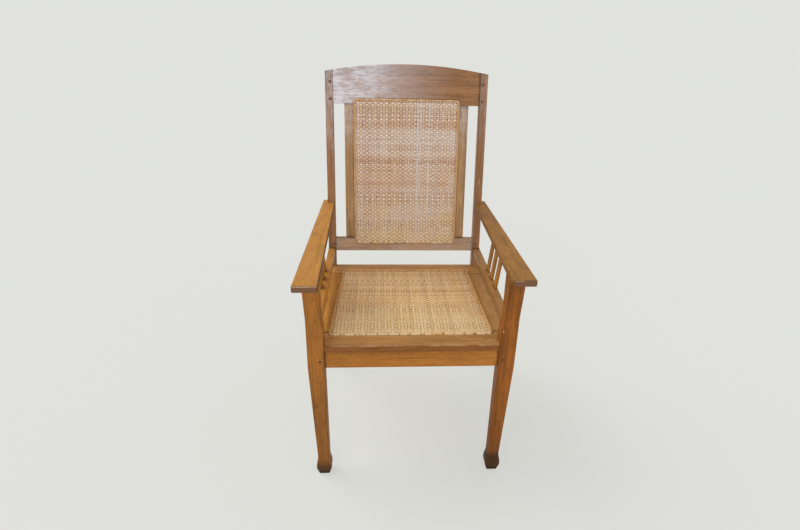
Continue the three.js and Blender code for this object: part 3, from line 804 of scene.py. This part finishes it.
def path_curve(name, points):
    curve = bpy.data.curves.new(name, "CURVE")
    curve.dimensions = "3D"
    spline = curve.splines.new("POLY")
    spline.points.add(len(points) - 1)
    for knot, point in zip(spline.points, points):
        knot.co = (point.x, point.y, 0, 1)
    return curve


# Cane and reed

# Heights and half widths of the redder rows in the back with their strengths, of its rows with painted
# sheen, and the place and half width of its upright strands with painted sheen
RED_ROWS = ((0.9, 0.016, 1.0), (0.79, 0.008, 0.8), (0.714, 0.011, 0.9), (0.74, 0.06, 0.3))
SHEEN_ROWS = (0.86, 0.05)
SHEEN_UPRIGHTS = (0.05, 0.08)
# How strongly the painted highlight on the strands' crowns shows
CROWN_SHEEN = {"seat": (0.8, 0.05), "back": (0.85, 0.35)}  # of the crosswise and the upright strands
CANE_KINDS = 7.3  # shuffles the strands' tones into kinds of cane
CANE_RELIEF = 0.15 * MILLIMETRE
REED_RELIEF = 0.2 * MILLIMETRE


def band(value, middle, half_width):
    """1 in the middle of a band and 0 outside it."""
    return abs(value - middle).smooth(half_width, half_width * 0.3)


def seat_marks(place, patch, spot):
    """How stained, pale and golden the seat's cane is: brown places, and wear with painted sheen towards
    the front.
    """
    _, y, _ = place.split()
    stain = patch.smooth(0.5, 0.72)
    pale = y.smooth(0.05, -0.2) * spot.smooth(0.42, 0.62) * 0.6
    return stain, pale, 0.0


def back_marks(place, patch, spot, tone, kind, crosswise):
    """How stained, pale and golden the back's cane is: red rows, and painted sheen in rows, upright strands
    and blotches, over a golden lower part.
    """
    x, _, z = place.split()
    sway = patch - 0.5
    stain = patch.smooth(0.52, 0.72) * 0.4
    for middle, half_width, strength in RED_ROWS:
        stain = stain + band(z + sway * 0.03, middle, half_width) * strength
    rows = band(z + sway * 0.05, *SHEEN_ROWS) * 0.4
    uprights = band(x + sway * 0.04, *SHEEN_UPRIGHTS) * z.smooth(0.35, 0.75)
    if crosswise:
        pale = rows + uprights * 0.25
    else:
        pale = uprights * tone.smooth(0.4, 0.7) * 0.9 + rows * 0.5
    blotches = (patch + (spot - 0.5) * 0.8 + (kind - 0.5) * 0.3).smooth(0.5, 0.75)
    gold = (z + sway * 0.3).smooth(0.68, 0.56)
    return stain, pale + blotches * 0.5, gold * 0.7


def cane_material(panel, crosswise):
    """Cane strands: pale with a painted highlight where they lie on top, brown with painted shade where
    they dip, with worn and stained places.
    """
    cane = bpy.context.scene.armchair_cane
    seat = panel == "seat"
    material, recipe = material_recipe(f"{panel} {'crosswise' if crosswise else 'upright'} cane")
    place = recipe.place()
    _, backwards, upwards = recipe.facing()
    outwards = (upwards if seat else -backwards).smooth(-0.3, 0.3) * 2 - 1
    height = recipe.attribute("strand_height") * outwards
    tone = recipe.attribute("strand_tone")
    kind = (tone * CANE_KINDS).fraction()
    fibre = place.noise((25, 900, 900) if crosswise else (900, 25, 25), detail=3)
    patch = place.noise((9, 14, 14), detail=3, roughness=0.6)
    spot = place.noise((260, 260, 260))
    own, sheen = cane.weft if crosswise else cane.warp, cane.sheen
    if seat:
        own, sheen = times(own, 1.0, 0.93, 0.66), times(sheen, 1.0, 1.0, 0.62)
        stain, pale, gold = seat_marks(place, patch, spot)
    else:
        stain, pale, gold = back_marks(place, patch, spot, tone, kind, crosswise)
    aged = ((tone - 0.25) * 1.1 + (spot - 0.5) * 1.8).clamp()
    golden = kind.smooth(0.55, 0.75) * (patch * 0.8 + 0.1)
    crown_sheen = CROWN_SHEEN[panel][0 if crosswise else 1]
    # Painted highlight on the crowns of the strands
    crown_highlight = (height + (spot - 0.5) * 2.2).smooth(0.4, 1.2) * crown_sheen * kind.smooth(0.8, 0.2)
    # Painted shade where a strand dips under its neighbour
    under = (height + (spot - 0.5) * 1.8 - (tone - 0.5) * 0.6).smooth(0.35, -0.45)
    colour = recipe.layers(
        own,
        (aged, times(own, 0.72, 0.58, 0.5)),
        (stain.clamp() * 0.6, times(own, 0.8, 0.5, 0.36)),
        (gold, times(own, 1.0, 0.98, 0.68)),
        (golden, times(own, 0.86, 0.76, 0.42)),
        ((pale + crown_highlight).clamp() * 0.8, sheen),
        (under * 0.95, cane.dip),
        (fibre * 0.2, cane.dip),
    )
    finish_surface(recipe, colour, 0.42 + fibre * 0.2, fibre, CANE_RELIEF, specular=0.45)
    return material


def near_ends(value, low, high, far, near):
    """1 at both ends of a range and 0 between, with a soft step from far to near in millimetres."""
    from_end = (high - low) / 2 - abs(value - (low + high) / 2)
    return from_end.smooth(far * MILLIMETRE, near * MILLIMETRE)


def reed_material(panel):
    """Golden reed with long fibres and dark ties, with painted glints along the panel's two ends."""
    reed = bpy.context.scene.armchair_reed
    material, recipe = material_recipe(f"{panel} reed")
    place = recipe.place()
    _, y, z = place.split()
    tie = recipe.attribute("reed_tie")
    fibre = place.noise((220, 220, 220), detail=3)
    stain = place.patches((16, 16, 16), 0.5, 0.7)
    glint = place.noise((60, 60, 60))
    low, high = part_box(f"{panel}_spline")
    # The stretches called worn are painted glints: along the seat reed's front and rear, and near the top
    # and foot of the back
    if panel == "seat":
        golden, tied = times(reed.golden, 1.0, 1.0, 0.78), 0.6
        worn = near_ends(y, low.y, high.y, 3.4, 1.2) * glint.smooth(0.3, 0.5) * 0.88
    else:
        golden, tied = reed.golden, 0.3
        worn = near_ends(z, low.z, high.z, 12, 6) * glint.smooth(0.4, 0.6) * 0.5
    colour = recipe.layers(
        golden,
        (fibre * 0.5, times(golden, 0.6)),
        (stain * 0.5, times(golden, 0.5)),
        (worn, reed.worn),
        (tie * tied, times(golden, 0.5, 0.36, 0.24)),
    )
    finish_surface(recipe, colour, 0.45 + fibre * 0.1, fibre, REED_RELIEF)
    return material


def peg_material(node, tone):
    """End grain: rings about the peg's middle, fine dots and a dark rim of old wax."""
    low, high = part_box(node)
    radius = (high.x - low.x) / 2
    material, recipe = material_recipe(node)
    place = recipe.place()
    x, _, z = recipe.vector_math("SUBTRACT", place, tuple((low + high) / 2)).split()
    distance = recipe.math("SQRT", x * x + z * z) / radius
    dots = place.noise((900, 900, 900))
    ring = (distance * 4 + place.noise((140, 140, 140))).fraction()
    colour = recipe.layers(
        times(tone, 1.4),
        (dots * 0.5, times(tone, 0.6)),
        (ring * 0.4, times(tone, 0.6)),
        (distance.smooth(0.6, 0.95) * 0.6, times(tone, 0.4)),
    )
    finish_surface(recipe, colour, 0.55 + dots * 0.1, dots, REED_RELIEF)
    return material


# Pieces

# Lengths of a board that are hidden in its neighbours
LONG_TENON = 18 * MILLIMETRE
SHORT_TENON = 12 * MILLIMETRE
ARM_TENON = 11 * MILLIMETRE
SLAT_TENON = 8 * MILLIMETRE
CANE_LAP = 1 * MILLIMETRE  # how far the strands' ends reach under the reed


class FrontLegsOperator(bpy.types.Operator):
    """Dresses the front legs and the seat rails in red-brown teak"""

    bl_idname = "armchair.front_legs"
    bl_label = "Front legs and seat rails"

    def execute(self, context):
        timber = context.scene.armchair_timber
        tones = {"right": timber.leg, "left": timber.red}
        # The right leg's darkening towards its top is painted shade under the arm; the legs also darken
        # towards the bottom, with dirt on the feet
        tone_and_shade_changes = {
            "right": [deepened(0.4, 0.0, 0.45), deepened(0.46, 0.62, 0.22), soiled_below(0.08, 0.03, 0.8)],
            "left": [deepened(0.6, 0.0, 0.42), soiled_below(0.055, 0.034, 0.78)],
        }
        for seed, side in enumerate(SIDES, 1):
            leg = {"changes": tone_and_shade_changes[side], "joint": ARM_TENON, "figured": 1.5}
            dress(f"front_leg_{side}", "leg_teak", tones[side], "z", seed, **leg)
            dress(f"side_seat_rail_{side}", "leg_teak", timber.red, "y", seed + 20, joint=SHORT_TENON)
        for seed, node in enumerate(("front_seat_rail", "rear_seat_rail"), 11):
            dress(node, "leg_teak", times(timber.red, 1.1), "x", seed, joint=LONG_TENON)
        return {"FINISHED"}


class SeatFrameOperator(bpy.types.Operator):
    """Dresses the seat frame in yellow-brown teak"""

    bl_idname = "armchair.seat_frame"
    bl_label = "Seat frame"

    def execute(self, context):
        timber = context.scene.armchair_timber
        reed_shade_and_grime = reed_line_shade_and_grime("seat", 0.5)
        edge = front_shade_and_corner_highlight("seat_frame_front", timber.shaded, 0.8, 0.6)
        dress("seat_frame_front", "seat_teak", timber.seat, "x", 31, changes=[reed_shade_and_grime, edge])
        dress("seat_frame_rear", "seat_teak", timber.seat, "x", 32, changes=[reed_shade_and_grime])
        # Painted light and shade: the left side member's brighter honey stands for sunlight on it, the
        # right one's darker tone for shade
        tones = {"right": times(timber.seat, 0.88), "left": times(timber.honey, 1.08)}
        for seed, side in enumerate(SIDES, 41):
            member = {"changes": [reed_shade_and_grime], "joint": SHORT_TENON}
            dress(f"seat_frame_side_{side}", "seat_teak", tones[side], "y", seed, **member)
        return {"FINISHED"}


class ArmsOperator(bpy.types.Operator):
    """Dresses the arms, the low side rails and their slats in honey teak"""

    bl_idname = "armchair.arms"
    bl_label = "Arms, side rails and slats"

    def execute(self, context):
        timber = context.scene.armchair_timber
        arm_tones = {"right": times(timber.honey, 0.6), "left": times(timber.honey, 0.95)}
        # Painted light and shade: the left low rail in bright honey as if sunlit, the right one darker as
        # if shaded
        lit_and_shaded_rail_tones = {"right": times(timber.seat, 0.76), "left": timber.honey}
        # Strengths of the painted shade and dirt on the arms' side faces
        dirt = {"right": 0.35, "left": 0.8}
        for seed, side in enumerate(SIDES, 51):
            arm = f"arm_{side}"
            changes = [side_shade_and_dirt(dirt[side]), front_shade_and_corner_highlight(arm, timber.end_grain_and_shade, 0.9, 0.8)]
            dress(arm, "arm_teak", arm_tones[side], "y", seed, changes=changes, figured=0.6)
            rail = f"low_side_rail_{side}"
            dress(rail, "arm_teak", lit_and_shaded_rail_tones[side], "y", seed + 10, joint=SHORT_TENON)
            for number in (1, 2, 3):
                slat = f"side_slat_{number}_{side}"
                slat_tone = times(timber.honey, 0.8)
                dress(slat, "arm_teak", slat_tone, "z", seed + 20 + number, joint=SLAT_TENON)
        return {"FINISHED"}


class BackFrameOperator(bpy.types.Operator):
    """Dresses the posts, rails and stiles of the back in weathered teak"""

    bl_idname = "armchair.back_frame"
    bl_label = "Back frame"

    def execute(self, context):
        timber = context.scene.armchair_timber
        # The greying of posts, stiles and rails is partly weathering and partly a painted pale sky
        # reflection on their front faces, strongest at the left
        greying_and_sky_sheen = {"right": 0.14, "left": 0.42}
        post_tones = {"right": times(timber.grey, 1.2), "left": timber.grey}
        for seed, side in enumerate(SIDES, 81):
            changes = [greyed_and_sky_sheen("z", greying_and_sky_sheen[side]), soiled_below(0.05, 0.036, 0.75)]
            post = {"raked": True, "changes": changes, "figured": 1.4}
            dress(f"rear_post_{side}", "back_teak", post_tones[side], "z", seed, **post)
            changes = [greyed_and_sky_sheen("z", 0.34, low=0.8, high=0.93), reed_line_shade_and_grime("back", 0.6)]
            stile = {"raked": True, "changes": changes, "joint": SHORT_TENON}
            dress(f"back_stile_{side}", "back_teak", timber.ochre, "z", seed + 5, **stile)
        # The patchy coat paints the white sky reflection at the crest's left end
        even = greyed_and_sky_sheen("x", 0.4, 0.04, 0.13, broken=0.3)
        patchy = greyed_and_sky_sheen("x", 1.0, -0.08, 0.08, broken=0.8)
        rail = {"raked": True, "changes": [even, patchy, reed_line_shade_and_grime("back", 0.6)], "joint": LONG_TENON}
        dress("crest_rail", "back_teak", times(timber.grey, 1.08), "x", 91, **rail)
        rail["changes"] = [greyed_and_sky_sheen("x", 0.22, low=0.3, high=0.4), reed_line_shade_and_grime("back", 0.4)]
        dress("lower_back_rail", "back_teak", timber.ochre, "x", 92, **rail)
        return {"FINISHED"}


class CaneOperator(bpy.types.Operator):
    """Weaves the seat and the back"""

    bl_idname = "armchair.cane"
    bl_label = "Woven cane"

    def execute(self, context):
        cane = context.scene.armchair_cane
        tree = weave_tree()
        for name, panel in PANELS.items():
            warp = cane_material(name, False)
            weft = cane_material(name, True)
            values = {
                "Half Start": panel.half_start, "Half End": panel.half_end,
                "Start": panel.start, "End": panel.end,
                "Middle": panel.middle, "Half Length": panel.half_length,
                "Reach": max(panel.half_length, panel.half_start), "Corner": panel.corner,
                "Tuck": context.scene.armchair_reed.width - CANE_LAP,
                "Warp Pitch": cane.warp_pitch, "Weft Pitch": cane.weft_pitch,
                "Cover": cane.cover, "Thickness": cane.thickness, "Rise": cane.rise,
                "Sag": cane.sag if name == "seat" else cane.sag / 3,
                "Seed": float(cane.seed + len(name)),
                "Warp Material": warp, "Weft Material": weft,
            }
            mesh = grown(f"{name}_weave", tree, values)
            mesh.transform(panel.place @ Matrix.Translation((0, panel.middle, cane.level)))
            piece = added(f"{name}_weave", mesh)
            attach(piece, BODY)
            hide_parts(f"{name}_cane")
        return {"FINISHED"}


class ReedOperator(bpy.types.Operator):
    """Lays the reed that closes the groove round each woven panel"""

    bl_idname = "armchair.reed"
    bl_label = "Reed"

    def execute(self, context):
        reed = context.scene.armchair_reed
        tree = reed_tree()
        for name, panel in PANELS.items():
            curve = path_curve(f"{name}_path", outline_path(panel, reed.width / 2))
            values = {
                "Width": reed.width, "Proud": reed.proud, "Depth": reed.depth,
                "Rounding": reed.proud * 0.9, "Tie Pitch": reed.tie_pitch, "Pinch": reed.pinch,
                "Material": reed_material(name),
            }
            mesh = grown(f"{name}_reed", tree, values, curve)
            mesh.transform(panel.place)
            piece = added(f"{name}_reed", mesh)
            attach(piece, BODY)
            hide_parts(f"{name}_spline")
        return {"FINISHED"}


class PegsOperator(bpy.types.Operator):
    """Gives the pegs and the leg's plug their end grain"""

    bl_idname = "armchair.pegs"
    bl_label = "Pegs"

    def execute(self, context):
        timber = context.scene.armchair_timber
        tones = {"plug": timber.plug, "front_rail_peg": timber.rail_peg, "peg": timber.peg}
        for name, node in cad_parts.items():
            tone = next((tones[kind] for kind in tones if kind in name), None)
            if tone is not None:
                node.data.materials.clear()
                node.data.materials.append(peg_material(name, tone))
        return {"FINISHED"}


# Studio

# Direction, strength and spread in degrees of each soft lamp
LAMPS = {"key lamp": ((-0.69, 0.35, 1.0), 1.2, 35), "front lamp": ((-0.25, -1.0, 0.6), 0.7, 50)}
FLOOR_GLOW = 0.68  # share of the floor's brightness that the chair's shadow leaves untouched
FLOOR_SIDES = 64
SENSOR_WIDTH = 36  # millimetres


def floor_material(colour, reach):
    """A pale floor that keeps a soft shadow of the chair and fades into the backdrop."""
    material, recipe = material_recipe("pale floor")
    distance = recipe.vector_math("LENGTH", recipe.place())
    paint = recipe.node("ShaderNodeBsdfDiffuse", {"Color": opaque(colour)})
    glow = recipe.node("ShaderNodeEmission", {"Color": opaque(colour), "Strength": 1.0})
    clear = recipe.node("ShaderNodeBsdfTransparent")
    soft = recipe.node("ShaderNodeMixShader", {0: recipe.seen() * FLOOR_GLOW, 1: paint, 2: glow})
    fade = distance.smooth(reach * 0.25, reach * 0.6)
    shown = recipe.node("ShaderNodeMixShader", {0: fade, 1: soft, 2: clear})
    recipe.node("ShaderNodeOutputMaterial", {"Surface": shown})
    return material


class StudioOperator(bpy.types.Operator):
    """Sets up the camera, the lamps and the pale floor"""

    bl_idname = "armchair.studio"
    bl_label = "Studio"

    def execute(self, context):
        studio = context.scene.armchair_studio
        context.scene.camera = self.add_camera(studio)
        self.add_floor(studio)
        context.scene.world = self.add_sky(studio)
        for name, lamp in LAMPS.items():
            self.add_lamp(name, *lamp)
        context.scene.view_settings.view_transform = "Standard"
        return {"FINISHED"}

    def add_camera(self, studio):
        data = bpy.data.cameras.new("camera")
        data.lens = studio.lens
        data.sensor_width = SENSOR_WIDTH
        data.shift_x, data.shift_y = studio.shift
        camera = added("camera", data)
        turn = (
            Matrix.Rotation(-studio.yaw, 4, "Z")
            @ Matrix.Rotation(math.pi / 2 - studio.pitch, 4, "X")
            @ Matrix.Rotation(studio.roll, 4, "Z")
        )
        camera.matrix_world = Matrix.Translation(studio.camera_place) @ turn
        return camera

    def add_floor(self, studio):
        mesh = bpy.data.meshes.new("floor")
        angles = [2 * math.pi * i / FLOOR_SIDES for i in range(FLOOR_SIDES)]
        rim = [(studio.reach * math.cos(angle), studio.reach * math.sin(angle), 0) for angle in angles]
        mesh.from_pydata(rim, [], [list(range(FLOOR_SIDES))])
        mesh.materials.append(floor_material(studio.floor, studio.reach))
        floor = added("floor", mesh)

    def add_sky(self, studio):
        """Even white light, seen by the camera as a pale backdrop."""
        world = bpy.data.worlds.new("studio")
        world.use_nodes = True
        recipe = Recipe(world.node_tree)
        light = recipe.node("ShaderNodeBackground", {"Color": (1, 1, 1, 1), "Strength": studio.sky})
        shown = recipe.node("ShaderNodeBackground", {"Color": opaque(studio.floor), "Strength": 1.0})
        mixed = recipe.node("ShaderNodeMixShader", {0: recipe.seen(), 1: light, 2: shown})
        recipe.node("ShaderNodeOutputWorld", {"Surface": mixed})
        return world

    def add_lamp(self, name, direction, strength, spread):
        """A soft distant lamp that shines from a direction."""
        lamp = bpy.data.lights.new(name, "SUN")
        lamp.energy = strength
        lamp.angle = math.radians(spread)
        sun = added(name, lamp)
        sun.rotation_mode = "QUATERNION"
        sun.rotation_quaternion = Vector(direction).to_track_quat("Z", "Y")


class ArmchairPanel(bpy.types.Panel):
    """Lists the settings and the steps"""

    bl_idname = "VIEW3D_PT_armchair"
    bl_label = "Armchair"
    bl_space_type = "VIEW_3D"
    bl_region_type = "UI"
    bl_category = "Armchair"

    def draw(self, context):
        for group, owner in SETTINGS.items():
            box = self.layout.box()
            for name in owner.__annotations__:
                box.prop(getattr(context.scene, group), name)
        for step in STEPS:
            self.layout.operator(step.bl_idname)


SETTINGS = {
    "armchair_timber": TimberSettings,
    "armchair_cane": CaneSettings,
    "armchair_reed": ReedSettings,
    "armchair_studio": StudioSettings,
}
STEPS = (
    StudioOperator,
    FrontLegsOperator,
    SeatFrameOperator,
    ArmsOperator,
    BackFrameOperator,
    CaneOperator,
    ReedOperator,
    PegsOperator,
)


def register():
    for cls in (*SETTINGS.values(), *STEPS, ArmchairPanel):
        bpy.utils.register_class(cls)
    for name, cls in SETTINGS.items():
        setattr(bpy.types.Scene, name, bpy.props.PointerProperty(type=cls))


def unregister():
    for name in SETTINGS:
        delattr(bpy.types.Scene, name)
    for cls in reversed((*SETTINGS.values(), *STEPS, ArmchairPanel)):
        bpy.utils.unregister_class(cls)


def main():
    register()
    for step in STEPS:
        category, name = step.bl_idname.split(".")
        getattr(getattr(bpy.ops, category), name)()


if __name__ == "__main__":
    main()
